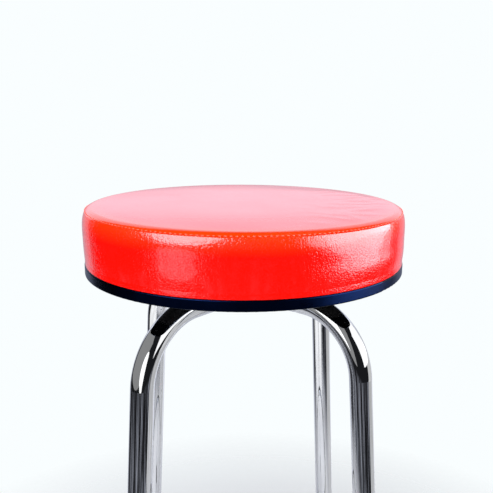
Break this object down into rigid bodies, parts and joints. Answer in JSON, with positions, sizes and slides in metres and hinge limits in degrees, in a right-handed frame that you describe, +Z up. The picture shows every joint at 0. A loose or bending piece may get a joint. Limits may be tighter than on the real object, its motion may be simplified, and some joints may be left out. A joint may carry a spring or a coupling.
{
  "type": "swivel stool",
  "caption": "Round workshop stool with a red vinyl cushion on a black rim that swivels on a flat ball bearing, bent chrome tube legs, a foot ring and rubber feet.",
  "frame": {"origin": "on the floor, on the axis that the seat turns about", "axes": "+Z up along the swivel axis; the stool's front, which the picture shows, faces -Y; the legs stand on the diagonals between X and Y"},
  "size_m": [0.366, 0.366, 0.7395],
  "materials": {
    "red_vinyl": "gloss",
    "foam": "matte",
    "stained_plywood": "satin",
    "black_steel": "satin",
    "black_trim": "satin",
    "chrome": "polished",
    "zinc_steel": "satin",
    "bearing_steel": "polished",
    "black_rubber": "matte",
    "black_plastic": "satin",
    "cage_nylon": "satin"
  },
  "bodies": {
    "leg_frame": {"swivel_base_plate": "black_steel", "pivot_bolt": "zinc_steel", "pivot_washer": "zinc_steel", "pivot_nut": "zinc_steel", "leg_bolts": "zinc_steel", "foot_ring": "chrome", "ring_saddles": "black_plastic", "ring_bolts": "chrome", "ring_cap_nuts": "chrome", "leg_back_right": "chrome", "foot_back_right": "black_rubber", "leg_back_left": "chrome", "foot_back_left": "black_rubber", "leg_front_left": "chrome", "foot_front_left": "black_rubber", "leg_front_right": "chrome", "foot_front_right": "black_rubber"},
    "seat": {"cover_top_panel": "red_vinyl", "cover_side_band": "red_vinyl", "cover_staples": "zinc_steel", "foam_pad": "foam", "seat_board": "stained_plywood", "seat_tee_nuts": "zinc_steel", "seat_bolts": "zinc_steel", "edge_trim": "black_trim", "trim_screws": "zinc_steel", "swivel_top_plate": "black_steel"},
    "ball_ring": {"bearing_balls": "bearing_steel", "ball_cage": "cage_nylon"}
  },
  "joints": [
    {"name": "seat_swivel", "type": "hinge", "parent": "leg_frame", "child": "seat", "pos_m": [0, 0, 0.654], "axis": [0, 0, 1], "continuous": true},
    {"name": "ball_ring_roll", "type": "hinge", "parent": "leg_frame", "child": "ball_ring", "pos_m": [0, 0, 0.65], "axis": [0, 0, 1], "continuous": true}
  ],
  "couplings": [
    {"joint": "ball_ring_roll", "follows": "seat_swivel", "ratio": 0.5}
  ]
}
